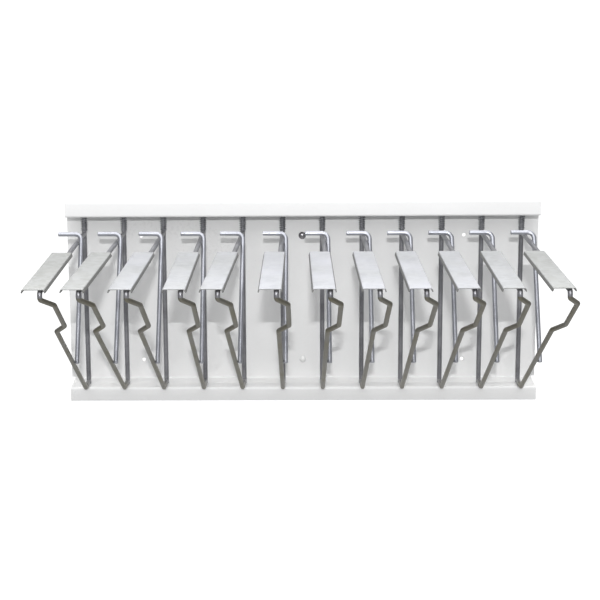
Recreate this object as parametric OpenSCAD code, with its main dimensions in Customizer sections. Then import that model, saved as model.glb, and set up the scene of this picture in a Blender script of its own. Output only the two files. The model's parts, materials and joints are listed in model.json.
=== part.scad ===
// Wall rack with twelve spring-loaded pivoting hangers for plan-file clamps.
// Frame: X to the right, -Y out from the wall, Z up. The origin is the centre of the panel's back face.
// Every hanger is drawn in its own frame: pivot axis on Z, arm along -Y, shelf top at z = 0.

/* [Panel] */
// Width of the back panel
panel_w = 609.6; // [609.6:0.1:640]
// Overall height, lip edge to header top
panel_h = 262; // [250:1:300]
// Sheet thickness of the folded panel
sheet_t = 1.5; // [1.2:0.1:2]
// Inside radius of each fold
fold_r = 1.5; // [1:0.1:2.5]
// Width of the folded header and shelf
strip_w = 601.6; // [595:0.1:606]
// How far the header and shelf stand out in front of the panel face
strip_d = 46; // [44:1:60]
// Height of the header's front face
header_h = 21; // [16:1:30]
// Height of the lip under the shelf's front edge
lip_h = 18; // [12:1:25]
// Depth of the header's lower return flange, which carries the upper pivot holes
return_d = 34; // [30:1:36]

/* [Wall fixing] */
// Distance of each outer hole column from the centre
hole_x = 209; // [150:0.5:260]
// Height of the upper hole row above the origin
hole_hi = 77.5; // [60:0.5:95]
// Depth of the lower hole row below the origin
hole_lo = 88; // [70:0.5:100]
// Diameter of the open wall-screw holes
hole_d = 4.5; // [4:0.1:6]
// Head diameter of the upper centre screw
screw_head_d = 9.6; // [8:0.1:12]
// Head diameter of the lower centre screw
small_head_d = 8.2; // [7:0.1:10]
// Height of both screw heads
screw_head_h = 3; // [2:0.1:4]
// Shank diameter of both centre screws
screw_d = 4; // [3:0.1:4]

/* [Pivots] */
// Spacing of the pivots, centre to centre
pitch = 50.8; // [45:0.1:51]
// Distance of the pivot axes from the panel face
pivot_d = 25; // [24:0.5:30]
// Diameter of the pivot rod and of its lower pin
rod_d = 6; // [5.8:0.1:6.4]
// Diameter of the upper pivot pin, inside the spring
pin_d = 5.2; // [3:0.1:5.6]
// Radial running clearance of a pin in its hole
pin_clear = 0.1; // [0.05:0.05:0.1]
// Height of the upper pin's top end above the shelf
pin_top = 233; // [230:1:234]
// Depth of the lower pin's end below the shelf top
pin_bottom = 7.5; // [6:0.5:9]

/* [Hanger frame] */
// Diameter of the hanger wire
wire_d = 5.6; // [5:0.1:6]
// Extra radius of the wire at its bends
swell = 0.15; // [0.1:0.05:0.3]
// Gap between the frame's foot and the shelf
foot_gap = 0.5; // [0.2:0.1:1]
// Forward run of the foot, pivot axis to the point of the V
foot_len = 33; // [28:1:40]
// Height of the top wire where it leaves the pivot rod
rear_z = 199; // [195:0.5:202]
// Height of the top wire at the front bend
top_z = 205; // [200:0.1:210]
// Distance from the pivot axis to the front bend
front_d = 373; // [300:1:400]
// Drop of the wire's front end below the top wire
front_drop = 8.2; // [6.5:0.1:10]
// Slope of the diagonal, rise over run
slope = 0.573; // [0.5:0.001:0.62]
// Start of the cranked length
crank_a = 263; // [200:1:270]
// End of the first slanted step of the crank
crank_b = 282; // [270:1:300]
// Start of the second slanted step of the crank
crank_c = 352; // [310:1:360]
// Sideways offset of the crank
crank_x = 12; // [8:0.5:14]

/* [Strut] */
// Distance from the pivot axis to the stub
stub_d = 70; // [60:1:85]
// Height of the stub above the shelf
stub_z = 211; // [208:0.5:216]
// Reach of the stub to the left of the pivot axis
stub_len = 23; // [15:0.5:23.5]
// Forward lean of the strut from the vertical
lean = 27.8; // [25:0.1:30]
// Length of the strut, stub axis to free end
strut_len = 164; // [160:1:170]
// Centre-line radius of the bend below the stub
strut_r = 8; // [5:0.5:8]

/* [Channel] */
// Width of the channel's top plate
chan_w = 24.8; // [20:0.1:26]
// Reach of the top plate to the right of the wire
chan_right = 5.8; // [5:0.1:8]
// Length of the channel
chan_len = 218; // [150:1:230]
// Distance from the pivot axis to the channel's front end
chan_front = 377; // [340:1:400]
// Sheet thickness of the channel
chan_t = 1.2; // [1:0.1:1.5]
// Drop of each lip below the top plate's upper face
lip_drop = 5; // [3:0.5:7]
// Outward flare of each lip
flare = 18; // [0:1:30]

/* [Spring] */
// Diameter of the spring wire
coil_wire = 1.2; // [0.8:0.1:1.6]
// Mean coil radius at the lower end
coil_r_low = 3.3; // [3.2:0.05:3.6]
// Mean coil radius at the upper end
coil_r_high = 4.1; // [3.4:0.1:4.4]
// Number of turns
turns = 8; // [5:1:9]

/* [Hidden] */
$fn = 48;
wire_r = wire_d / 2;
rod_r = rod_d / 2;
shelf_z = lip_h - panel_h / 2;
header_z = panel_h / 2 - header_h;
pivot_y = -(sheet_t + pivot_d);
front_y = -(sheet_t + strip_d);
foot_z = foot_gap + wire_r;
beside = wire_d + 0.02;
// Small angles at which the arms stand when nobody has straightened them
rest_angle = [0, -1.5, -1.5, -0.5, -2.25, -0.5, 0.5, 0.75, 0.5, 0.5, 0, 0.25];
// Underside of the header's return flange, measured from the shelf top
flange_under = header_z - shelf_z;
seat_z = rear_z + wire_r + 0.6;
coil_steps = 12;

function diag_z(d) = foot_z + (d - foot_len) * slope;
function pivot_x(k) = (k - 6.5) * pitch;

// Carries a hanger from its own frame to its pivot
module at_pivot(k) {
  translate([pivot_x(k), pivot_y, shelf_z])
    rotate([0, 0, rest_angle[k - 1]])
      children();
}

// Round bar between two points
module bar(a, b, r) {
  d = b - a;
  span = norm(d);
  translate(a)
    rotate([0, acos(d[2] / span), atan2(d[1], d[0])])
      cylinder(h = span, r = r);
}

// Wire bent through a list of points, each bend upset to a ball a hair thicker than the wire
module bent_wire(p, r, swell) {
  for (i = [0 : len(p) - 2])
    bar(p[i], p[i + 1], r);
  for (i = [1 : len(p) - 2])
    translate(p[i])
      sphere(r = r + swell);
}

// Quarter ring of a fold, in the plane of the profile
module fold(c, qx, qy) {
  ro = fold_r + sheet_t;
  translate(c)
    intersection() {
      difference() {
        circle(r = ro);
        circle(r = fold_r);
      }
      translate([qx > 0 ? 0 : -ro, qy > 0 ? 0 : -ro])
        square(ro);
    }
}

// Profile of header and shelf, first axis out from the wall, second axis up
module strip_profile() {
  ro = fold_r + sheet_t;
  out = -front_y;
  top = panel_h / 2;
  translate([ro, top - sheet_t])
    square([out - 2 * ro, sheet_t]);
  fold([out - ro, top - ro], 1, 1);
  translate([out - sheet_t, header_z + ro])
    square([sheet_t, header_h - 2 * ro]);
  fold([out - ro, header_z + ro], 1, -1);
  translate([out - return_d, header_z])
    square([return_d - ro, sheet_t]);
  translate([ro, shelf_z - sheet_t])
    square([out - 2 * ro, sheet_t]);
  fold([out - ro, shelf_z - ro], 1, 1);
  translate([out - sheet_t, -panel_h / 2])
    square([sheet_t, lip_h - ro]);
}

// Profile of the panel with the folds that turn it into header and shelf
module panel_profile() {
  ro = fold_r + sheet_t;
  top = panel_h / 2;
  translate([0, shelf_z - sheet_t + ro])
    square([sheet_t, top - ro - (shelf_z - sheet_t + ro)]);
  fold([ro, top - ro], -1, 1);
  fold([ro, shelf_z - sheet_t + ro], -1, -1);
}

module along_x(w) {
  translate([-w / 2, 0, 0])
    rotate([90, 0, 90])
      linear_extrude(height = w)
        mirror([1, 0])
          children();
}

// Folded steel panel: back, header and shelf in one sheet
module rack_panel() {
  color("#e9e9e7")
    difference() {
      union() {
        along_x(strip_w)
          strip_profile();
        along_x(strip_w)
          panel_profile();
        translate([-panel_w / 2, -sheet_t, shelf_z + fold_r])
          cube([panel_w, sheet_t, panel_h - lip_h - 2 * fold_r - sheet_t]);
      }
      for (k = [1 : 12]) {
        translate([pivot_x(k), pivot_y, header_z - 1])
          cylinder(h = sheet_t + 2, r = pin_d / 2 + pin_clear);
        translate([pivot_x(k), pivot_y, shelf_z - sheet_t - 1])
          cylinder(h = sheet_t + 2, r = rod_r + pin_clear);
      }
      for (sx = [-1, 1]) {
        for (z = [hole_hi, -hole_lo]) {
          translate([sx * hole_x, 1, z])
            rotate([90, 0, 0])
              cylinder(h = sheet_t + 2, r = hole_d / 2);
        }
      }
      for (z = [hole_hi, -hole_lo]) {
        translate([0, 1, z])
          rotate([90, 0, 0])
            cylinder(h = sheet_t + 2, r = screw_d / 2 + 0.1);
      }
    }
}

// Domed screw: head in front of the panel, shank through it
module dome_screw(head_d, z) {
  hr = head_d / 2;
  ball = (hr * hr + screw_head_h * screw_head_h) / (2 * screw_head_h);
  translate([0, -sheet_t, z])
    rotate([90, 0, 0]) {
      difference() {
        intersection() {
          translate([0, 0, screw_head_h - ball])
            sphere(r = ball);
          cylinder(h = screw_head_h, r = hr);
        }
        translate([-hr * 0.5, -0.4, screw_head_h - 1])
          cube([hr, 0.8, 2]);
        translate([-0.4, -hr * 0.5, screw_head_h - 1])
          cube([0.8, hr, 2]);
      }
      translate([0, 0, -sheet_t])
        cylinder(h = sheet_t, r = screw_d / 2);
    }
}

module centre_screw() {
  color("#5d5e61")
    dome_screw(screw_head_d, hole_hi);
}

module lower_screw() {
  color("#e9e9e7")
    dome_screw(small_head_d, -hole_lo);
}

// Pivot rod with its two pins, and the bent wire welded to it as a closed loop
module frame_wire() {
  path = [
    [0, 0, foot_z],
    [0, -foot_len, foot_z],
    [0, -crank_a, diag_z(crank_a)],
    [crank_x, -crank_b, diag_z(crank_b)],
    [crank_x, -crank_c, diag_z(crank_c)],
    [0, -front_d, top_z - front_drop],
    [0, -front_d, top_z],
    [0, 0, rear_z]
  ];
  translate([0, 0, -pin_bottom])
    cylinder(h = pin_bottom + seat_z, r = rod_r);
  translate([0, 0, seat_z])
    cylinder(h = pin_top - seat_z, r = pin_d / 2);
  bent_wire(path, wire_r, swell);
}

// Bent strut: stub across the top wire, bend, leg down to the diagonal
module strut_wire() {
  translate([beside, -stub_d, stub_z])
    rotate([-lean, 0, 0]) {
      translate([-beside - stub_len, 0, 0])
        rotate([0, 90, 0])
          cylinder(h = stub_len + beside - strut_r, r = wire_r);
      translate([-strut_r, 0, -strut_r])
        rotate([90, 0, 0])
          rotate_extrude(angle = 90)
            translate([strut_r, 0])
              circle(r = wire_r);
      translate([0, 0, -strut_len])
        cylinder(h = strut_len - strut_r, r = wire_r);
    }
}

// Folded channel lying on the top wire, lips turned down and flared
module channel_bar() {
  x0 = chan_right - chan_w;
  x1 = chan_right;
  z1 = wire_r + chan_t;
  s = lip_drop * tan(flare);
  c = chan_t / cos(flare);
  i = chan_t * (1 / cos(flare) - tan(flare));
  rise = atan((top_z - rear_z) / front_d);
  translate([0, -front_d, top_z])
    rotate([-90 - rise, 0, 0])
      translate([0, -z1, front_d - chan_front])
        linear_extrude(height = chan_len)
          polygon([
            [x0, 0],
            [x1, 0],
            [x1 + s, lip_drop],
            [x1 + s - c, lip_drop],
            [x1 - i, chan_t],
            [x0 + i, chan_t],
            [x0 - s + c, lip_drop],
            [x0 - s, lip_drop]
          ]);
}

// Conical helix between the frame's shoulder and the header's flange
module cone_spring() {
  n = turns * coil_steps;
  rw = coil_wire / 2;
  z0 = seat_z + rw + 0.03;
  z1 = flange_under - rw - 0.03;
  sides = 6;
  ring = [for (i = [0 : n]) for (j = [0 : sides - 1])
    let (a = 360 * i / coil_steps)
    let (t = i / n)
    let (r = coil_r_low + (coil_r_high - coil_r_low) * t)
    let (q = 360 * j / sides)
    [(r + rw * cos(q)) * cos(a), (r + rw * cos(q)) * sin(a), z0 + (z1 - z0) * t + rw * sin(q)]];
  skin = [for (i = [0 : n - 1]) for (j = [0 : sides - 1])
    let (m = (j + 1) % sides)
    [i * sides + j, i * sides + m, (i + 1) * sides + m, (i + 1) * sides + j]];
  start_cap = [[for (j = [0 : sides - 1]) sides - 1 - j]];
  end_cap = [[for (j = [0 : sides - 1]) n * sides + j]];
  polyhedron(points = ring, faces = concat(skin, start_cap, end_cap), convexity = 10);
}

module frame_01() {
  color("#85868a")
    at_pivot(1)
      frame_wire();
}

module strut_01() {
  color("#a4a6ac")
    at_pivot(1)
      strut_wire();
}

module channel_01() {
  color("#c9cbc9")
    at_pivot(1)
      channel_bar();
}

module spring_01() {
  color("#9a9b9e")
    at_pivot(1)
      cone_spring();
}

module frame_02() {
  color("#85868a")
    at_pivot(2)
      frame_wire();
}

module strut_02() {
  color("#a4a6ac")
    at_pivot(2)
      strut_wire();
}

module channel_02() {
  color("#c9cbc9")
    at_pivot(2)
      channel_bar();
}

module spring_02() {
  color("#9a9b9e")
    at_pivot(2)
      cone_spring();
}

module frame_03() {
  color("#85868a")
    at_pivot(3)
      frame_wire();
}

module strut_03() {
  color("#a4a6ac")
    at_pivot(3)
      strut_wire();
}

module channel_03() {
  color("#c9cbc9")
    at_pivot(3)
      channel_bar();
}

module spring_03() {
  color("#9a9b9e")
    at_pivot(3)
      cone_spring();
}

module frame_04() {
  color("#85868a")
    at_pivot(4)
      frame_wire();
}

module strut_04() {
  color("#a4a6ac")
    at_pivot(4)
      strut_wire();
}

module channel_04() {
  color("#c9cbc9")
    at_pivot(4)
      channel_bar();
}

module spring_04() {
  color("#9a9b9e")
    at_pivot(4)
      cone_spring();
}

module frame_05() {
  color("#85868a")
    at_pivot(5)
      frame_wire();
}

module strut_05() {
  color("#a4a6ac")
    at_pivot(5)
      strut_wire();
}

module channel_05() {
  color("#c9cbc9")
    at_pivot(5)
      channel_bar();
}

module spring_05() {
  color("#9a9b9e")
    at_pivot(5)
      cone_spring();
}

module frame_06() {
  color("#85868a")
    at_pivot(6)
      frame_wire();
}

module strut_06() {
  color("#a4a6ac")
    at_pivot(6)
      strut_wire();
}

module channel_06() {
  color("#c9cbc9")
    at_pivot(6)
      channel_bar();
}

module spring_06() {
  color("#9a9b9e")
    at_pivot(6)
      cone_spring();
}

module frame_07() {
  color("#85868a")
    at_pivot(7)
      frame_wire();
}

module strut_07() {
  color("#a4a6ac")
    at_pivot(7)
      strut_wire();
}

module channel_07() {
  color("#c9cbc9")
    at_pivot(7)
      channel_bar();
}

module spring_07() {
  color("#9a9b9e")
    at_pivot(7)
      cone_spring();
}

module frame_08() {
  color("#85868a")
    at_pivot(8)
      frame_wire();
}

module strut_08() {
  color("#a4a6ac")
    at_pivot(8)
      strut_wire();
}

module channel_08() {
  color("#c9cbc9")
    at_pivot(8)
      channel_bar();
}

module spring_08() {
  color("#9a9b9e")
    at_pivot(8)
      cone_spring();
}

module frame_09() {
  color("#85868a")
    at_pivot(9)
      frame_wire();
}

module strut_09() {
  color("#a4a6ac")
    at_pivot(9)
      strut_wire();
}

module channel_09() {
  color("#c9cbc9")
    at_pivot(9)
      channel_bar();
}

module spring_09() {
  color("#9a9b9e")
    at_pivot(9)
      cone_spring();
}

module frame_10() {
  color("#85868a")
    at_pivot(10)
      frame_wire();
}

module strut_10() {
  color("#a4a6ac")
    at_pivot(10)
      strut_wire();
}

module channel_10() {
  color("#c9cbc9")
    at_pivot(10)
      channel_bar();
}

module spring_10() {
  color("#9a9b9e")
    at_pivot(10)
      cone_spring();
}

module frame_11() {
  color("#85868a")
    at_pivot(11)
      frame_wire();
}

module strut_11() {
  color("#a4a6ac")
    at_pivot(11)
      strut_wire();
}

module channel_11() {
  color("#c9cbc9")
    at_pivot(11)
      channel_bar();
}

module spring_11() {
  color("#9a9b9e")
    at_pivot(11)
      cone_spring();
}

module frame_12() {
  color("#85868a")
    at_pivot(12)
      frame_wire();
}

module strut_12() {
  color("#a4a6ac")
    at_pivot(12)
      strut_wire();
}

module channel_12() {
  color("#c9cbc9")
    at_pivot(12)
      channel_bar();
}

module spring_12() {
  color("#9a9b9e")
    at_pivot(12)
      cone_spring();
}

rack_panel();
centre_screw();
lower_screw();
frame_01();
strut_01();
channel_01();
spring_01();
frame_02();
strut_02();
channel_02();
spring_02();
frame_03();
strut_03();
channel_03();
spring_03();
frame_04();
strut_04();
channel_04();
spring_04();
frame_05();
strut_05();
channel_05();
spring_05();
frame_06();
strut_06();
channel_06();
spring_06();
frame_07();
strut_07();
channel_07();
spring_07();
frame_08();
strut_08();
channel_08();
spring_08();
frame_09();
strut_09();
channel_09();
spring_09();
frame_10();
strut_10();
channel_10();
spring_10();
frame_11();
strut_11();
channel_11();
spring_11();
frame_12();
strut_12();
channel_12();
spring_12();
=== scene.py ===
import json
import math

import bmesh
import bpy
from mathutils import Matrix, Vector


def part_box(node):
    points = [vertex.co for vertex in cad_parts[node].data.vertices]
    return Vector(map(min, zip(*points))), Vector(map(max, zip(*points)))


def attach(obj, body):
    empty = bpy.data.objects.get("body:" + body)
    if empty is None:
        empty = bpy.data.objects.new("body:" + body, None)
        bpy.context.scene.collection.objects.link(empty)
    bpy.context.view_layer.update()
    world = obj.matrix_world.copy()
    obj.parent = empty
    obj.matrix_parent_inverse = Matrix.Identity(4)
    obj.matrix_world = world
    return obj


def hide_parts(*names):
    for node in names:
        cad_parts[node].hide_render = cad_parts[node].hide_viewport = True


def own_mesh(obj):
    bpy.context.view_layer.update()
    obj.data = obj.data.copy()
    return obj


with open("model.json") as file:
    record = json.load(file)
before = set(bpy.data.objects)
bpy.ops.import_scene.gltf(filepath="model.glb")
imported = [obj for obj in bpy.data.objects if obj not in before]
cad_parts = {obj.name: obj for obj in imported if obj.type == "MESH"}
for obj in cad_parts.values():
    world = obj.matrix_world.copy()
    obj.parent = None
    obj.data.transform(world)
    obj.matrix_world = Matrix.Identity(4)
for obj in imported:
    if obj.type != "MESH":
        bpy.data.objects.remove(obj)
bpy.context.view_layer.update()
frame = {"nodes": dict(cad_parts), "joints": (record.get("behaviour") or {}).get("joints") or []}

MM = 0.001
scene = bpy.context.scene

# ---------------------------------------------------------------- sizes of the rack, in millimetres
HANGERS = 12
SHEET_T = 1.5  # sheet of the folded panel

# Radii of the wire, the pivot rod and the upper pin
WIRE_R = 2.8
ROD_R = 3.0
PIN_R = 2.6

# Heights above the shelf: the pin ends, the spring's seat and the underside of the header's flange
PIN_BOTTOM = -7.5
PIN_TOP = 233.0
SEAT = 202.4
FLANGE_UNDER = 223.0

# Bent loop: heights above the shelf, and distances out from the pivot axis
FOOT_Z = 3.3
FOOT_LEN = 33.0
SLOPE = 0.573  # rise over run of the diagonal
REAR_Z = 199.0
TOP_Z = 205.0
FRONT = 373.0
FRONT_DROP = 8.2
CRANK = (263.0, 282.0, 352.0)  # where the crank starts, reaches its offset and turns back
CRANK_SIDE = 12.0
LOOP_BENDS = (7.0, 4.6, 4.6, 4.6, 4.0, 4.0)  # centre-line radii, foot to front top

# Strut: place of its stub, forward lean in degrees, length and bend
STUB_D = 70.0
STUB_Z = 211.0
STUB_LEN = 23.0
LEAN = 27.8
STRUT_LEN = 164.0
STRUT_BEND = 8.0
STRUT_GAP = 0.02  # between the strut and the wire beside it

# Channel: reach to each side of the wire, front end, length, sheet, lips and their flare in degrees
CHAN_LEFT = -19.0
CHAN_RIGHT = 5.8
CHAN_FRONT = 377.0
CHAN_LEN = 218.0
CHAN_T = 1.2
CHAN_FOLD = 1.5
CHAN_CORNER = 1.6
CHAN_EDGE = 0.18
LIP_DROP = 5.0
FLARE = 18.0

# Spring: wire radius, coil radius at the bottom and the top, turns, and the dead part of a turn at each end
COIL_R = 0.68
COIL_LOW = 3.35
COIL_HIGH = 4.1
TURNS = 8
DEAD_TURN = 0.75
COIL_GAP = 0.05

# For each hanger from the left: how dull its channel is, and the angle it stands at, in degrees
WEATHERING = (0.9, 0.8, 0.2, 0.35, 0.3, 0.0, 0.0, 0.05, 0.1, 0.2, 0.45, 0.8)
REST_ANGLE = (0, -1.5, -1.5, -0.5, -2.25, -0.5, 0.5, 0.75, 0.5, 0.5, 0, 0.25)

# Heights and pivots that come from the frame, in metres
SHELF_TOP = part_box("frame_01")[0][2] - PIN_BOTTOM * MM
PIVOTS = {j["child"]: Vector(j["pos_m"]) for j in frame["joints"] if j["type"] == "hinge"}

# ---------------------------------------------------------------- colours
BLACK = (0.0, 0.0, 0.0, 1.0)
WHITE = (1.0, 1.0, 1.0, 1.0)
POWDER_WHITE = (0.835, 0.835, 0.833, 1.0)
SCREW_WHITE = (0.84, 0.84, 0.835, 1.0)
WORN_POWDER = (0.5, 0.5, 0.49, 1.0)
# Whiter than the paint: a dusting colour that is also painted top light on faces that look up
POWDER_DUST_AND_TOP_LIGHT = (0.93, 0.925, 0.9, 1.0)
WIRE_DUST = (0.5, 0.5, 0.48, 1.0)
SHEET_DUST = (0.55, 0.55, 0.52, 1.0)
OLIVE_TINT = (0.18, 0.165, 0.112, 1.0)
ZINC_DARK = (0.47, 0.48, 0.50, 1.0)
ZINC_LIGHT = (0.53, 0.535, 0.58, 1.0)
ZINC_OLD = (0.385, 0.39, 0.365, 1.0)
SPANGLE = (0.66, 0.67, 0.69, 1.0)
SCRATCHED = (0.44, 0.45, 0.47, 1.0)
# Painted shade for the channels' side lips, which face away from the light
LIP_PAINTED_SHADE = (0.2, 0.2, 0.19, 1.0)
WORN_ZINC = (0.36, 0.36, 0.36, 1.0)
SCREW_DARK = (0.26, 0.255, 0.27, 1.0)
SCREW_LIGHT = (0.36, 0.355, 0.37, 1.0)
WORN_SCREW = (0.4, 0.4, 0.41, 1.0)
FLOOR_DARK = (0.7, 0.7, 0.7, 1.0)
FLOOR_LIGHT = (0.73, 0.73, 0.73, 1.0)

# Parts of a noise's range that a change of tone is spread over
TONE_SPAN = (0.3, 0.7)
PLATING_SPAN = (0.32, 0.68)


# ---------------------------------------------------------------- shader helpers
def new_group(name, inputs, outputs):
    """A shader node group with its sockets, and its input and output nodes."""
    tree = bpy.data.node_groups.new(name, "ShaderNodeTree")
    for label, kind, value in inputs:
        socket = tree.interface.new_socket(name=label, in_out="INPUT", socket_type=kind)
        if value is not None:
            socket.default_value = value
    for label, kind in outputs:
        tree.interface.new_socket(name=label, in_out="OUTPUT", socket_type=kind)
    return tree, tree.nodes.new("NodeGroupInput"), tree.nodes.new("NodeGroupOutput")


def math_node(tree, operation, a, b, clamp=False):
    node = tree.nodes.new("ShaderNodeMath")
    node.operation = operation
    node.use_clamp = clamp
    for i, value in enumerate((a, b)):
        if isinstance(value, (int, float)):
            node.inputs[i].default_value = value
        else:
            tree.links.new(value, node.inputs[i])
    return node.outputs[0]


def ramp(tree, source, low, high, to_low=0.0, to_high=1.0):
    node = tree.nodes.new("ShaderNodeMapRange")
    node.clamp = True
    tree.links.new(source, node.inputs["Value"])
    node.inputs["From Min"].default_value = low
    node.inputs["From Max"].default_value = high
    node.inputs["To Min"].default_value = to_low
    node.inputs["To Max"].default_value = to_high
    return node.outputs["Result"]


def mix_colour(tree, factor, a, b):
    node = tree.nodes.new("ShaderNodeMix")
    node.data_type = "RGBA"
    for socket, value in ((node.inputs["Factor"], factor), (node.inputs["A"], a), (node.inputs["B"], b)):
        if isinstance(value, (int, float, tuple)):
            socket.default_value = value
        else:
            tree.links.new(value, socket)
    return node.outputs["Result"]


def stretch(tree, vector, scale, turn=0.0):
    """The pattern's coordinates, scaled along each axis and turned about the vertical."""
    node = tree.nodes.new("ShaderNodeMapping")
    tree.links.new(vector, node.inputs["Vector"])
    node.inputs["Scale"].default_value = scale
    node.inputs["Rotation"].default_value = (0.0, 0.0, turn)
    return node.outputs["Vector"]


def read_attribute(tree, name, share):
    """A value kept on the mesh, times its share."""
    node = tree.nodes.new("ShaderNodeAttribute")
    node.attribute_name = name
    return math_node(tree, "MULTIPLY", node.outputs["Fac"], share)


def noise(tree, vector, scale, detail=3.0, roughness=0.5):
    node = tree.nodes.new("ShaderNodeTexNoise")
    tree.links.new(vector, node.inputs["Vector"])
    node.inputs["Scale"].default_value = scale
    node.inputs["Detail"].default_value = detail
    node.inputs["Roughness"].default_value = roughness
    return node.outputs["Fac"]


def edge_wear_group():
    """Mask of rubbed corners: the angle between the flat and the rounded normal, broken up by noise."""
    tree, inp, out = new_group(
        "edge_wear",
        [("Vector", "NodeSocketVector", None), ("Width", "NodeSocketFloat", 0.0006),
         ("Break Up", "NodeSocketFloat", 90.0), ("Amount", "NodeSocketFloat", 1.0)],
        [("Mask", "NodeSocketFloat")])
    soft = tree.nodes.new("ShaderNodeBevel")
    soft.samples = 4
    tree.links.new(inp.outputs["Width"], soft.inputs["Radius"])
    geometry = tree.nodes.new("ShaderNodeNewGeometry")
    dot = tree.nodes.new("ShaderNodeVectorMath")
    dot.operation = "DOT_PRODUCT"
    tree.links.new(soft.outputs["Normal"], dot.inputs[0])
    tree.links.new(geometry.outputs["Normal"], dot.inputs[1])
    edge = ramp(tree, dot.outputs["Value"], 0.995, 0.93)
    grain = tree.nodes.new("ShaderNodeTexNoise")
    tree.links.new(inp.outputs["Vector"], grain.inputs["Vector"])
    tree.links.new(inp.outputs["Break Up"], grain.inputs["Scale"])
    grain.inputs["Detail"].default_value = 4.0
    spots = ramp(tree, grain.outputs["Fac"], 0.42, 0.66)
    mask = math_node(tree, "MULTIPLY", edge, spots)
    tree.links.new(math_node(tree, "MULTIPLY", mask, inp.outputs["Amount"], clamp=True), out.inputs["Mask"])
    return tree


def blotch_group():
    """Slow change of tone over a metal or painted surface, with a finer grain on top."""
    tree, inp, out = new_group(
        "blotch",
        [("Vector", "NodeSocketVector", None), ("Coarse", "NodeSocketFloat", 20.0),
         ("Fine", "NodeSocketFloat", 300.0), ("Fine Share", "NodeSocketFloat", 0.4)],
        [("Tone", "NodeSocketFloat")])
    layers = []
    for label in ("Coarse", "Fine"):
        node = tree.nodes.new("ShaderNodeTexNoise")
        tree.links.new(inp.outputs["Vector"], node.inputs["Vector"])
        tree.links.new(inp.outputs[label], node.inputs["Scale"])
        node.inputs["Detail"].default_value = 3.0
        layers.append(node.outputs["Fac"])
    fine = math_node(tree, "MULTIPLY", math_node(tree, "SUBTRACT", layers[1], 0.5), inp.outputs["Fine Share"])
    tree.links.new(math_node(tree, "ADD", layers[0], fine, clamp=True), out.inputs["Tone"])
    return tree


def dust_and_top_light_group():
    """Mask of faces that look up, broken by a cloud: a thin dusting, and on the white powder coat also a
    painted top light.
    """
    tree, inp, out = new_group(
        "dust_and_top_light",
        [("Vector", "NodeSocketVector", None), ("Amount", "NodeSocketFloat", 0.3)],
        [("Mask", "NodeSocketFloat")])
    geometry = tree.nodes.new("ShaderNodeNewGeometry")
    split = tree.nodes.new("ShaderNodeSeparateXYZ")
    tree.links.new(geometry.outputs["Normal"], split.inputs[0])
    up = ramp(tree, split.outputs["Z"], 0.55, 1.0)
    cloud = ramp(tree, noise(tree, inp.outputs["Vector"], 34.0, 5.0, 0.65), 0.38, 0.72)
    mask = math_node(tree, "MULTIPLY", up, cloud)
    tree.links.new(math_node(tree, "MULTIPLY", mask, inp.outputs["Amount"], clamp=True), out.inputs["Mask"])
    return tree


EDGE_WEAR, BLOTCH, DUST_AND_TOP_LIGHT = edge_wear_group(), blotch_group(), dust_and_top_light_group()


def place_group(tree, group, vector, **values):
    """Puts a group in a material with its own values, and gives the group's output."""
    node = tree.nodes.new("ShaderNodeGroup")
    node.node_tree = group
    tree.links.new(vector, node.inputs["Vector"])
    for key, value in values.items():
        node.inputs[key.replace("_", " ")].default_value = value
    return node.outputs[0]


def new_material(name, **plain):
    """An empty material with a Principled shader, its plain values set on the shader itself."""
    material = bpy.data.materials.new(name)
    material.use_nodes = True
    tree = material.node_tree
    tree.nodes.clear()
    shader = tree.nodes.new("ShaderNodeBsdfPrincipled")
    for key, value in plain.items():
        shader.inputs[key.replace("_", " ")].default_value = value
    out = tree.nodes.new("ShaderNodeOutputMaterial")
    tree.links.new(shader.outputs[0], out.inputs["Surface"])
    coords = tree.nodes.new("ShaderNodeTexCoord")
    return material, tree, shader, coords.outputs["Object"]


def add_bump(tree, shader, height, strength, distance):
    bump = tree.nodes.new("ShaderNodeBump")
    bump.inputs["Strength"].default_value = strength
    bump.inputs["Distance"].default_value = distance
    tree.links.new(height, bump.inputs["Height"])
    tree.links.new(bump.outputs["Normal"], shader.inputs["Normal"])


def powder_coat(name, colour, gloss):
    """White powder coat: fine orange peel, faint tone changes, rubbed sharp edges, a light dusting with
    painted top light.
    """
    material, tree, shader, vector = new_material(name, IOR=1.48)
    tone = place_group(tree, BLOTCH, vector, Coarse=5.0, Fine=260.0, Fine_Share=0.25)
    shade = tuple(c * 0.955 for c in colour[:3]) + (1.0,)
    base = mix_colour(tree, ramp(tree, tone, *TONE_SPAN), shade, colour)
    wear = place_group(tree, EDGE_WEAR, vector, Width=0.0009, Break_Up=120.0, Amount=0.3)
    base = mix_colour(tree, wear, base, WORN_POWDER)
    # Faces that look up turn whiter than the paint: a light dusting plus painted top light
    dust_and_top_light = place_group(tree, DUST_AND_TOP_LIGHT, vector, Amount=0.5)
    base = mix_colour(tree, dust_and_top_light, base, POWDER_DUST_AND_TOP_LIGHT)
    tree.links.new(base, shader.inputs["Base Color"])
    peel = noise(tree, vector, 620.0, 2.0, 0.4)
    rough = ramp(tree, tone, *TONE_SPAN, *gloss)
    rough = math_node(tree, "ADD", rough, math_node(tree, "MULTIPLY", dust_and_top_light, 0.3), clamp=True)
    tree.links.new(rough, shader.inputs["Roughness"])
    add_bump(tree, shader, peel, 0.12, 0.0004)
    return material


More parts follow.
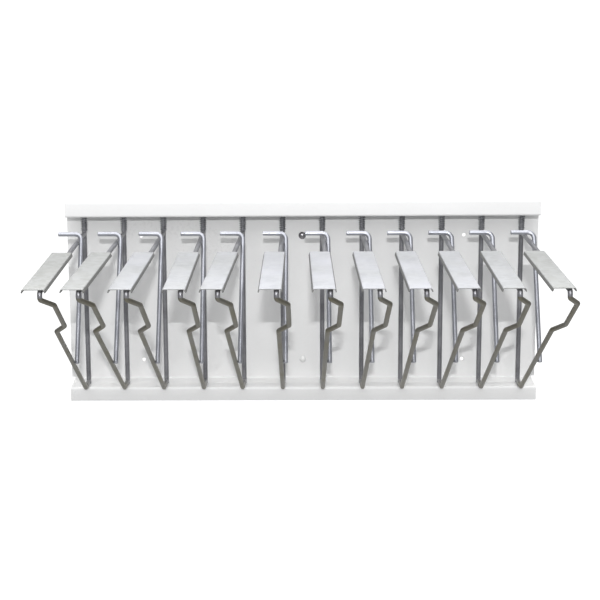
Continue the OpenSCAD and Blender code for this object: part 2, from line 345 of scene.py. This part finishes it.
def wire_metal(name, light, dark, rough, tint=None):
    """Zinc-plated drawn wire: fine die lines, cloudy plating, a darker olive tint where the mesh marks one.
    """
    material, tree, shader, vector = new_material(name, Metallic=0.82, IOR=1.5)
    tone = place_group(tree, BLOTCH, vector, Coarse=45.0, Fine=700.0, Fine_Share=0.5)
    base = mix_colour(tree, ramp(tree, tone, *PLATING_SPAN), dark, light)
    if tint:
        patch = ramp(tree, noise(tree, vector, 24.0), 0.25, 0.75, 0.55, 1.0)
        base = mix_colour(tree, read_attribute(tree, "olive_tint", patch), base, tint)
    dust_and_top_light = place_group(tree, DUST_AND_TOP_LIGHT, vector, Amount=0.12)
    base = mix_colour(tree, dust_and_top_light, base, WIRE_DUST)
    tree.links.new(base, shader.inputs["Base Color"])
    tree.links.new(ramp(tree, tone, *TONE_SPAN, *rough), shader.inputs["Roughness"])
    die_lines = noise(tree, stretch(tree, vector, (1.0, 1.0, 0.12)), 1400.0, 2.0)
    add_bump(tree, shader, die_lines, 0.04, 0.0001)
    return material


def galvanised(name):
    """Galvanised sheet: soft grey crystals with faint green and blue, fine scuffs, painted shade on the
    folded lips.
    """
    material, tree, shader, vector = new_material(name, Metallic=0.55, IOR=1.5)
    cells = tree.nodes.new("ShaderNodeTexVoronoi")
    tree.links.new(vector, cells.inputs["Vector"])
    cells.inputs["Scale"].default_value = 150.0
    split = tree.nodes.new("ShaderNodeSeparateColor")
    tree.links.new(cells.outputs["Color"], split.inputs[0])
    spangle = split.outputs[0]
    tone = place_group(tree, BLOTCH, vector, Coarse=14.0, Fine=420.0, Fine_Share=0.35)
    base = mix_colour(tree, ramp(tree, tone, *PLATING_SPAN), ZINC_DARK, ZINC_LIGHT)
    base = mix_colour(tree, read_attribute(tree, "weathering", 0.9), base, ZINC_OLD)
    base = mix_colour(tree, math_node(tree, "MULTIPLY", spangle, 0.3), base, SPANGLE)
    scuffs = noise(tree, stretch(tree, vector, (1.0, 0.18, 1.0), 0.5), 260.0, 4.0, 0.7)
    scratch = ramp(tree, scuffs, 0.62, 0.72)
    base = mix_colour(tree, math_node(tree, "MULTIPLY", scratch, 0.35), base, SCRATCHED)
    # Painted shade: the folded lips are darkened as side faces that get little light
    base = mix_colour(tree, read_attribute(tree, "lip_painted_shade", 0.85), base, LIP_PAINTED_SHADE)
    wear = place_group(tree, EDGE_WEAR, vector, Width=0.0006, Break_Up=160.0, Amount=0.35)
    base = mix_colour(tree, wear, base, WORN_ZINC)
    dust_and_top_light = place_group(tree, DUST_AND_TOP_LIGHT, vector, Amount=0.22)
    base = mix_colour(tree, dust_and_top_light, base, SHEET_DUST)
    tree.links.new(base, shader.inputs["Base Color"])
    rough = ramp(tree, tone, *TONE_SPAN, 0.52, 0.62)
    rough = math_node(tree, "ADD", rough, math_node(tree, "MULTIPLY", spangle, 0.08))
    rough = math_node(tree, "SUBTRACT", rough, math_node(tree, "MULTIPLY", scratch, 0.12))
    tree.links.new(rough, shader.inputs["Roughness"])
    grain = noise(tree, vector, 900.0, 2.0)
    height = math_node(tree, "ADD", math_node(tree, "MULTIPLY", spangle, 0.5), grain)
    add_bump(tree, shader, height, 0.08, 0.0003)
    return material


def screw_metal(name):
    """Dark plated screw: semi-gloss, lighter where the driver has rubbed it."""
    material, tree, shader, vector = new_material(name, Metallic=0.9, IOR=1.5)
    tone = place_group(tree, BLOTCH, vector, Coarse=180.0, Fine=1500.0, Fine_Share=0.5)
    base = mix_colour(tree, ramp(tree, tone, *TONE_SPAN), SCREW_DARK, SCREW_LIGHT)
    wear = place_group(tree, EDGE_WEAR, vector, Width=0.0003, Break_Up=900.0, Amount=0.8)
    base = mix_colour(tree, wear, base, WORN_SCREW)
    tree.links.new(base, shader.inputs["Base Color"])
    tree.links.new(ramp(tree, tone, *TONE_SPAN, 0.2, 0.3), shader.inputs["Roughness"])
    add_bump(tree, shader, noise(tree, vector, 1800.0, 2.0), 0.1, 0.0001)
    return material


POWDER = powder_coat("white_powder_coat", POWDER_WHITE, gloss=(0.26, 0.36))
LOOP_WIRE = wire_metal("zinc_wire", (0.33, 0.33, 0.35, 1.0), (0.23, 0.23, 0.245, 1.0),
                       rough=(0.34, 0.44), tint=OLIVE_TINT)
STRUT_WIRE = wire_metal("bright_zinc_wire", (0.42, 0.43, 0.47, 1.0), (0.32, 0.33, 0.365, 1.0),
                        rough=(0.28, 0.38))
SPRING_WIRE = wire_metal("spring_wire", (0.36, 0.37, 0.39, 1.0), (0.25, 0.255, 0.27, 1.0),
                         rough=(0.2, 0.3))
WELD = wire_metal("weld_bead", (0.24, 0.24, 0.245, 1.0), (0.16, 0.16, 0.162, 1.0), rough=(0.4, 0.55))
SHEET = galvanised("galvanised_sheet")
DARK_SCREW = screw_metal("dark_screw")
PAINTED_SCREW = powder_coat("painted_screw", SCREW_WHITE, gloss=(0.16, 0.24))


# ---------------------------------------------------------------- mesh helpers
BEND_STEPS = 7 / 1.2  # steps of a bend for each radian
COIL_STEPS = 22  # steps of the spring's wire for each turn


def local(right, out, up):
    """A point of a hanger: right of its axis, out from its axis, above the shelf, all in millimetres."""
    return Vector((right * MM, -out * MM, up * MM))


def hanger_place(k):
    """Carries a hanger's own frame to its pivot, with the small angle it stands at."""
    pivot = PIVOTS[f"hanger_{k:02d}"]
    return (Matrix.Translation((pivot.x, pivot.y, SHELF_TOP))
            @ Matrix.Rotation(math.radians(REST_ANGLE[k - 1]), 4, "Z"))


def new_verts(made):
    return [g for g in made if isinstance(g, bmesh.types.BMVert)]


def sharp_edges(bm, angle):
    limit = math.radians(angle)
    return [e for e in bm.edges if len(e.link_faces) == 2 and e.calc_face_angle(0) > limit]


def finish_piece(bm, name, material, body, nodes, angle=32.0):
    """Closes the mesh up, shades it smooth up to an angle, and rides it on its body in the nodes' place."""
    bmesh.ops.remove_doubles(bm, verts=bm.verts, dist=1e-6)
    bmesh.ops.recalc_face_normals(bm, faces=bm.faces)
    mesh = bpy.data.meshes.new(name)
    bm.to_mesh(mesh)
    bm.free()
    mesh.materials.append(material)
    for face in mesh.polygons:
        face.use_smooth = True
    mesh.set_sharp_from_angle(angle=math.radians(angle))
    piece = bpy.data.objects.new(name, mesh)
    scene.collection.objects.link(piece)
    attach(piece, body)
    if nodes:
        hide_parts(*nodes)
    return piece


def ring_at(bm, point, direction, radius, sides):
    """A ring of edges round a point, square to a direction."""
    turn = direction.to_track_quat("Z", "Y").to_matrix().to_4x4()
    made = bmesh.ops.create_circle(bm, cap_ends=False, radius=radius, segments=sides,
                                   matrix=Matrix.Translation(point) @ turn)
    return list({e for v in made["verts"] for e in v.link_edges})


def extrude_ring(bm, ring):
    """Extrudes a ring of edges in place, and gives the new ring and its vertices."""
    made = bmesh.ops.extrude_edge_only(bm, edges=ring)["geom"]
    verts = new_verts(made)
    edges = [g for g in made if isinstance(g, bmesh.types.BMEdge) and all(v in verts for v in g.verts)]
    return edges, verts


def push_ring(bm, ring, step, grow=1.0):
    """Extrudes a ring of edges by a step, and scales the new ring about its centre."""
    ring, verts = extrude_ring(bm, ring)
    bmesh.ops.translate(bm, verts=verts, vec=step)
    if grow != 1.0:
        centre = sum((v.co for v in verts), Vector()) / len(verts)
        bmesh.ops.scale(bm, vec=(grow, grow, grow), verts=verts, space=Matrix.Translation(-centre))
    return ring


def spin_ring(bm, ring, centre, axis, angle, steps):
    """Carries a ring of edges round an arc."""
    made = bmesh.ops.spin(bm, geom=ring, cent=centre, axis=axis, angle=angle, steps=steps,
                          use_duplicate=False)
    return [g for g in made["geom_last"] if isinstance(g, bmesh.types.BMEdge)]


def cap_ring(bm, ring):
    bmesh.ops.edgeloop_fill(bm, edges=ring)


def swept_wire(bm, points, radius, bends, chamfer=0.35, sides=20):
    """Round wire bent through the points with a centre-line radius for each bend, ends lightly chamfered."""
    ease = chamfer * MM
    small = 1.0 - ease / radius
    heading = (points[1] - points[0]).normalized()
    ring = ring_at(bm, points[0], heading, radius * small, sides)
    cap_ring(bm, ring)
    ring = push_ring(bm, ring, heading * ease, 1.0 / small)
    at = points[0] + heading * ease
    for corner, after, bend in zip(points[1:], points[2:], bends):
        onward = (after - corner).normalized()
        turn = heading.angle(onward)
        back = bend * math.tan(turn / 2)
        ring = push_ring(bm, ring, corner - heading * back - at)
        centre = corner + (onward - heading).normalized() * bend / math.cos(turn / 2)
        steps = max(2, int(BEND_STEPS * turn) + 1)
        ring = spin_ring(bm, ring, centre, heading.cross(onward).normalized(), turn, steps)
        at = corner + onward * back
        heading = onward
    ring = push_ring(bm, ring, points[-1] - heading * ease - at)
    ring = push_ring(bm, ring, heading * ease, small)
    cap_ring(bm, ring)


def turned_bar(bm, profile, sides=24):
    """Upright turned bar on the pivot axis, from (radius, height) pairs."""
    radius, height = profile[0]
    ring = ring_at(bm, local(0, 0, height), Vector((0, 0, 1)), radius * MM, sides)
    cap_ring(bm, ring)
    for (r0, z0), (r1, z1) in zip(profile, profile[1:]):
        ring = push_ring(bm, ring, Vector((0, 0, (z1 - z0) * MM)), r1 / r0)
    cap_ring(bm, ring)


def weld_bead(bm, centre, along, length, radius):
    """Lumpy weld fillet: a short fat bead laid along a joint, its length and radius in millimetres."""
    made = bmesh.ops.create_icosphere(bm, subdivisions=3, radius=1.0)
    turn = along.normalized().to_track_quat("Z", "Y").to_matrix().to_4x4()
    for v in made["verts"]:
        ripple = 1.0 + 0.07 * math.sin(v.co.z * 9.0) + 0.04 * math.sin(v.co.x * 7.0 + v.co.y * 5.0)
        wide = radius * MM * ripple
        v.co = Vector((v.co.x * wide, v.co.y * wide, v.co.z * length * MM))
    bmesh.ops.transform(bm, matrix=Matrix.Translation(centre) @ turn, verts=made["verts"])


# ---------------------------------------------------------------- hanger pieces
def diagonal_z(out):
    return FOOT_Z + (out - FOOT_LEN) * SLOPE


def top_wire_z(out):
    return REAR_Z + (TOP_Z - REAR_Z) * out / FRONT


def make_loop(k):
    """Pivot rod with its two pins, and the wire bent round from the rod's foot to its top."""
    bm = bmesh.new()
    root = ROD_R - 1.0
    a, b, c = CRANK
    path = [
        local(0, root, FOOT_Z), local(0, FOOT_LEN, FOOT_Z), local(0, a, diagonal_z(a)),
        local(CRANK_SIDE, b, diagonal_z(b)), local(CRANK_SIDE, c, diagonal_z(c)),
        local(0, FRONT, TOP_Z - FRONT_DROP), local(0, FRONT, TOP_Z), local(0, root, REAR_Z)]
    swept_wire(bm, path, WIRE_R * MM, [bend * MM for bend in LOOP_BENDS])
    low_ease, seat_ease, high_ease = 0.7, 0.2, 0.6
    turned_bar(bm, [
        (ROD_R - low_ease, PIN_BOTTOM), (ROD_R, PIN_BOTTOM + low_ease), (ROD_R, SEAT - seat_ease),
        (ROD_R - seat_ease, SEAT), (PIN_R, SEAT + 0.001), (PIN_R, PIN_TOP - high_ease),
        (PIN_R - high_ease, PIN_TOP)])
    # Marks the diagonal and crank, forward of the rod and below the top wire, for a darker olive tint
    tinted_from, tinted_below = 5.5, TOP_Z - 6.5
    layer = bm.verts.layers.float.new("olive_tint")
    for v in bm.verts:
        if -v.co.y / MM > tinted_from and v.co.z / MM < tinted_below:
            v[layer] = 1.0
    bmesh.ops.transform(bm, matrix=hanger_place(k), verts=bm.verts)
    finish_piece(bm, f"loop_wire_{k:02d}", LOOP_WIRE, f"hanger_{k:02d}", [f"frame_{k:02d}"])


def make_strut(k):
    """Stub across the top wire, and the leaning leg down to the diagonal."""
    bm = bmesh.new()
    beside = 2 * WIRE_R + STRUT_GAP
    lean = Matrix.Rotation(math.radians(-LEAN), 4, "X")
    corner = local(beside, STUB_D, STUB_Z)
    path = [corner + lean @ Vector(((-beside - STUB_LEN) * MM, 0, 0)), corner,
            corner + lean @ Vector((0, 0, -STRUT_LEN * MM))]
    swept_wire(bm, path, WIRE_R * MM, [STRUT_BEND * MM], chamfer=0.5)
    bmesh.ops.transform(bm, matrix=hanger_place(k), verts=bm.verts)
    finish_piece(bm, f"strut_wire_{k:02d}", STRUT_WIRE, f"hanger_{k:02d}", [f"strut_{k:02d}"])


def make_welds(k):
    """Beads at the strut's two crossings, at the rod's two joints and along the channel."""
    bm = bmesh.new()
    lean = math.radians(LEAN)
    side = WIRE_R + STRUT_GAP / 2
    outward, across = Vector((0, -1, 0)), Vector((1, 0, 0))
    cross = STUB_D + (STUB_Z - REAR_Z - 2.0) * math.tan(lean)
    weld_bead(bm, local(side, cross, REAR_Z + 1.4), outward, 3.2, 1.5)
    foot = STUB_D + (STRUT_LEN - 3.0) * math.sin(lean)
    weld_bead(bm, local(side, foot, diagonal_z(foot)), Vector((0, -1, SLOPE)), 3.4, 1.5)
    root = ROD_R + 0.3
    weld_bead(bm, local(0, root, FOOT_Z + WIRE_R - 0.4), across, 2.1, 1.1)
    weld_bead(bm, local(0, root, REAR_Z - WIRE_R + 0.6), across, 2.1, 1.1)
    for out in (195.0, 280.0, 362.0):
        bead = local(-WIRE_R + 0.5, out, top_wire_z(out) + WIRE_R - 0.9)
        weld_bead(bm, bead, Vector((0, -1, 0.016)), 4.5, 1.0)
    bmesh.ops.transform(bm, matrix=hanger_place(k), verts=bm.verts)
    finish_piece(bm, f"weld_beads_{k:02d}", WELD, f"hanger_{k:02d}", [])


def fold_strip(bm, end, centre, turn):
    """Bends the strip on from its end vertex, and gives the new end."""
    made = bmesh.ops.spin(bm, geom=[end], cent=centre, axis=(0, 1, 0), angle=turn, steps=4,
                          use_duplicate=False)
    return new_verts(made["geom_last"])[0]


def make_channel(k):
    """Folded channel: a bent strip drawn out to length, given its thickness, with eased edges and corners."""
    bm = bmesh.new()
    flare = math.radians(FLARE)
    turn = math.radians(90) - flare
    back = CHAN_FOLD * math.tan(turn / 2)
    mid = CHAN_T / 2
    lip = (LIP_DROP - mid) / math.cos(flare)
    left, right = CHAN_LEFT + mid, CHAN_RIGHT - mid
    tip = bm.verts.new(local(left - lip * math.sin(flare), 0, -lip * math.cos(flare)))
    lip_top = bm.verts.new(local(left - back * math.sin(flare), 0, -back * math.cos(flare)))
    bm.edges.new((tip, lip_top))
    plate_start = fold_strip(bm, lip_top, local(left + back, 0, -CHAN_FOLD), turn)
    plate_end = bm.verts.new(local(right - back, 0, 0))
    bm.edges.new((plate_start, plate_end))
    lip_top = fold_strip(bm, plate_end, local(right - back, 0, -CHAN_FOLD), turn)
    tip = bm.verts.new(lip_top.co + local(math.sin(flare), 0, -math.cos(flare)) * (lip - back))
    bm.edges.new((lip_top, tip))
    bmesh.ops.remove_doubles(bm, verts=bm.verts, dist=1e-7)
    made = bmesh.ops.extrude_edge_only(bm, edges=list(bm.edges))["geom"]
    bmesh.ops.translate(bm, verts=new_verts(made), vec=Vector((0, CHAN_LEN * MM, 0)))
    bmesh.ops.recalc_face_normals(bm, faces=bm.faces)
    if sum(f.normal.z * f.calc_area() for f in bm.faces) < 0:
        bmesh.ops.reverse_faces(bm, faces=bm.faces)
    corners = [v for v in bm.verts if len(v.link_edges) == 2]
    bmesh.ops.bevel(bm, geom=corners, offset=CHAN_CORNER * MM, affect="VERTICES", segments=3, profile=0.5,
                    material=-1)
    bmesh.ops.solidify(bm, geom=bm.faces[:], thickness=CHAN_T * MM)
    top = max(v.co.z for v in bm.verts)
    bmesh.ops.translate(bm, verts=bm.verts, vec=Vector((0, 0, -top)))
    bmesh.ops.bevel(bm, geom=sharp_edges(bm, 50), offset=CHAN_EDGE * MM, affect="EDGES", segments=2,
                    profile=0.5, material=-1)
    # Marks the lips below the plate for their painted shade
    folded = bm.verts.layers.float.new("lip_painted_shade")
    weathering = bm.verts.layers.float.new("weathering")
    for v in bm.verts:
        v[folded] = 1.0 if v.co.z < -1.0 * MM else 0.0
        v[weathering] = WEATHERING[k - 1]
    rise = math.atan((TOP_Z - REAR_Z) / FRONT)
    lift = Matrix.Translation(local(0, FRONT, TOP_Z)) @ Matrix.Rotation(-rise, 4, "X")
    lift = lift @ Matrix.Translation(local(0, CHAN_FRONT - FRONT, WIRE_R + CHAN_T))
    bmesh.ops.transform(bm, matrix=hanger_place(k) @ lift, verts=bm.verts)
    finish_piece(bm, f"channel_sheet_{k:02d}", SHEET, f"hanger_{k:02d}", [f"channel_{k:02d}"],
                 40.0)


def coil_point(turns):
    """Where the spring's wire is after some turns: it widens evenly, and lies nearly flat at both ends."""
    low, high = SEAT + COIL_R + COIL_GAP, FLANGE_UNDER - COIL_R - COIL_GAP
    rise = min(max((turns - DEAD_TURN) / (TURNS - 2 * DEAD_TURN), 0.0), 1.0)
    z = low + min(turns, DEAD_TURN) / DEAD_TURN * COIL_R + (high - low - 2 * COIL_R) * rise
    z += COIL_R * max(0.0, turns - (TURNS - DEAD_TURN)) / DEAD_TURN
    r = COIL_LOW + (COIL_HIGH - COIL_LOW) * turns / TURNS
    a = 2 * math.pi * turns
    return Vector((r * math.cos(a) * MM, r * math.sin(a) * MM, z * MM))


def make_spring(k):
    """Conical coil spring, its ends closed down."""
    bm = bmesh.new()
    count = TURNS * COIL_STEPS
    points = [coil_point(i / COIL_STEPS) for i in range(count + 1)]
    heading = (points[1] - points[0]).normalized()
    ring = ring_at(bm, points[0], heading, COIL_R * MM, 8)
    cap_ring(bm, ring)
    for i in range(1, count + 1):
        ring, verts = extrude_ring(bm, ring)
        ahead = (points[i + 1] - points[i]).normalized() if i < count else heading
        swing = heading.rotation_difference(ahead).to_matrix().to_4x4()
        step = Matrix.Translation(points[i]) @ swing @ Matrix.Translation(-points[i - 1])
        bmesh.ops.transform(bm, matrix=step, verts=verts)
        heading = ahead
    cap_ring(bm, ring)
    bmesh.ops.transform(bm, matrix=hanger_place(k), verts=bm.verts)
    piece = finish_piece(bm, f"coil_spring_{k:02d}", SPRING_WIRE, f"spring_seat_{k:02d}", [f"spring_{k:02d}"])
    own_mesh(piece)


# ---------------------------------------------------------------- panel and screws
def make_panel():
    """The folded sheet with its sharp edges eased."""
    bm = bmesh.new()
    bm.from_mesh(frame["nodes"]["rack_panel"].data)
    bmesh.ops.remove_doubles(bm, verts=bm.verts, dist=2e-6)
    bmesh.ops.dissolve_limit(bm, angle_limit=math.radians(0.6), verts=bm.verts, edges=bm.edges)
    bmesh.ops.bevel(bm, geom=sharp_edges(bm, 60), offset=0.3 * MM, affect="EDGES", segments=2, profile=0.5,
                    material=-1, clamp_overlap=True)
    finish_piece(bm, "folded_panel", POWDER, "panel", ["rack_panel"], 25.0)


def make_screw(name, node, material):
    """Button-head screw: a spun dome on a thin rolled rim, a small driver dimple, and its shank behind."""
    low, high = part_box(node)
    radius = (high[0] - low[0]) / 2
    centre = Vector(((low[0] + high[0]) / 2, 0, (low[2] + high[2]) / 2))
    face = -low[1]
    sheet, shank = SHEET_T * MM, 2.0 * MM
    rim, rolled = 0.5 * MM, 0.15 * MM
    shank_ease = 0.3 * MM
    dimple, dimple_depth = 0.7 * MM, 0.6 * MM
    dome = face - sheet - rim
    sphere = (radius ** 2 + dome ** 2) / (2 * dome)
    middle = face - sphere
    bm = bmesh.new()
    steps = [(0.0, 0.0), (shank - shank_ease, 0.0), (shank, shank_ease), (shank, sheet),
             (radius - rolled, sheet), (radius, sheet + rolled), (radius, sheet + rim)]
    verts = [bm.verts.new(centre + Vector((r, -out, 0))) for r, out in steps]
    for one, two in zip(verts, verts[1:]):
        bm.edges.new((one, two))
    sweep = math.acos(max(-1.0, min(1.0, (sheet + rim - middle) / sphere)))
    hole = math.asin(dimple / sphere)
    arc = bmesh.ops.spin(bm, geom=[verts[-1]], cent=centre + Vector((0, -middle, 0)), axis=(0, 0, -1),
                         angle=sweep - hole, steps=12, use_duplicate=False)
    lip = new_verts(arc["geom_last"])[0]
    foot = bm.verts.new(Vector((centre.x + dimple * 0.7, lip.co.y + 0.5 * MM, centre.z)))
    pit = bm.verts.new(Vector((centre.x, lip.co.y + dimple_depth, centre.z)))
    bm.edges.new((lip, foot))
    bm.edges.new((foot, pit))
    bmesh.ops.spin(bm, geom=bm.verts[:] + bm.edges[:], cent=centre, axis=(0, 1, 0), angle=2 * math.pi,
                   steps=48, use_merge=True, use_duplicate=False)
    finish_piece(bm, name, material, "panel", [node])


make_panel()
make_screw("dark_dome_screw", "centre_screw", DARK_SCREW)
make_screw("painted_dome_screw", "lower_screw", PAINTED_SCREW)
for number in range(1, HANGERS + 1):
    make_loop(number)
    make_strut(number)
    make_welds(number)
    make_channel(number)
    make_spring(number)


# ---------------------------------------------------------------- floor, light and camera, in metres
FLOOR_SIZE = 60.0
FLOOR_DROP = 1.6
FLOOR_GLOW = 0.85  # the floor's own light, which only the camera sees, so it throws none on the rack
GLOW_NEAR = 0.4  # share of that light in front of the rack
GLOW_SPAN = (0.5, 2.6)  # where it rises to the full value, behind the rack
WORLD_COLOUR = (0.98, 0.99, 1.0, 1.0)
WORLD_LIGHT = 0.45
WORLD_SEEN = 0.72

CAMERA_PLACE = Vector((-0.0059164, -2.0871, SHELF_TOP + 0.58154))
PITCH = 0.2155  # radians, downwards
YAW = -0.0174
ROLL = -0.0075
LENS_MM = 98.232
SENSOR_MM = 36.0
SHIFT = (0.05, -0.025)


def stage_floor():
    """Plain pale floor, far below the rack, that fades to white behind it."""
    bm = bmesh.new()
    bmesh.ops.create_grid(bm, x_segments=2, y_segments=2, size=FLOOR_SIZE)
    bmesh.ops.translate(bm, verts=bm.verts, vec=Vector((0, 0, -FLOOR_DROP)))
    mesh = bpy.data.meshes.new("pale_floor")
    bm.to_mesh(mesh)
    bm.free()
    material, tree, shader, vector = new_material("pale_floor", Emission_Strength=FLOOR_GLOW)
    tone = place_group(tree, BLOTCH, vector, Coarse=0.6, Fine=8.0, Fine_Share=0.1)
    tree.links.new(mix_colour(tree, tone, FLOOR_DARK, FLOOR_LIGHT), shader.inputs["Base Color"])
    tree.links.new(ramp(tree, tone, 0.0, 1.0, 0.8, 0.9), shader.inputs["Roughness"])
    place = tree.nodes.new("ShaderNodeSeparateXYZ")
    tree.links.new(vector, place.inputs[0])
    glow = ramp(tree, place.outputs["Y"], *GLOW_SPAN, GLOW_NEAR, 1.0)
    seen = tree.nodes.new("ShaderNodeLightPath")
    glow = math_node(tree, "MULTIPLY", glow, seen.outputs["Is Camera Ray"])
    tree.links.new(mix_colour(tree, glow, BLACK, WHITE), shader.inputs["Emission Color"])
    mesh.materials.append(material)
    floor = bpy.data.objects.new("pale_floor", mesh)
    scene.collection.objects.link(floor)


def area_light(name, place, aim, size, power):
    """Rectangular light at a place, turned to its aim, that the camera doesn't see."""
    data = bpy.data.lights.new(name, "AREA")
    data.shape = "RECTANGLE"
    data.size, data.size_y = size
    data.energy = power
    light = bpy.data.objects.new(name, data)
    light.visible_camera = False
    light.location = place
    light.rotation_euler = (Vector(aim) - Vector(place)).to_track_quat("-Z", "Y").to_euler()
    scene.collection.objects.link(light)


def studio_world():
    """Soft light from all round, with a strength of its own where the camera sees it."""
    world = bpy.data.worlds.new("studio")
    scene.world = world
    world.use_nodes = True
    tree = world.node_tree
    back = tree.nodes["Background"]
    back.inputs["Color"].default_value = WORLD_COLOUR
    seen = tree.nodes.new("ShaderNodeLightPath")
    strength = ramp(tree, seen.outputs["Is Camera Ray"], 0.0, 1.0, WORLD_LIGHT, WORLD_SEEN)
    tree.links.new(strength, back.inputs["Strength"])


def studio_camera():
    """Long lens, a little above the rack and almost square to it."""
    lens = bpy.data.cameras.new("studio_camera")
    lens.sensor_width = SENSOR_MM
    lens.lens = LENS_MM
    lens.shift_x, lens.shift_y = SHIFT
    camera = bpy.data.objects.new("studio_camera", lens)
    level = math.cos(PITCH)
    forward = Vector((math.sin(YAW) * level, math.cos(YAW) * level, -math.sin(PITCH)))
    right = Vector((math.cos(YAW), -math.sin(YAW), 0.0))
    up = right.cross(forward)
    side = right * math.cos(ROLL) + up * math.sin(ROLL)
    top = up * math.cos(ROLL) - right * math.sin(ROLL)
    turn = Matrix((side, top, -forward)).transposed().to_4x4()
    camera.matrix_world = Matrix.Translation(CAMERA_PLACE) @ turn
    scene.collection.objects.link(camera)
    scene.camera = camera


stage_floor()
area_light("front_softbox", (-0.1, -1.2, 0.95), (0.0, 0.0, 0.0), (1.8, 0.7), 8.0)
area_light("small_key", (-0.007, -2.459, 0.775), (0.0, 0.0, 0.0), (0.07, 0.012), 22.0)
area_light("top_softbox", (0.0, -0.9, 2.1), (0.0, -0.1, 0.0), (2.4, 1.4), 20.0)
area_light("back_softbox", (0.0, 0.6, 2.2), (0.0, -0.1, 0.0), (3.0, 1.4), 40.0)
studio_world()
studio_camera()
scene.view_settings.view_transform = "Standard"
scene.view_settings.look = "None"
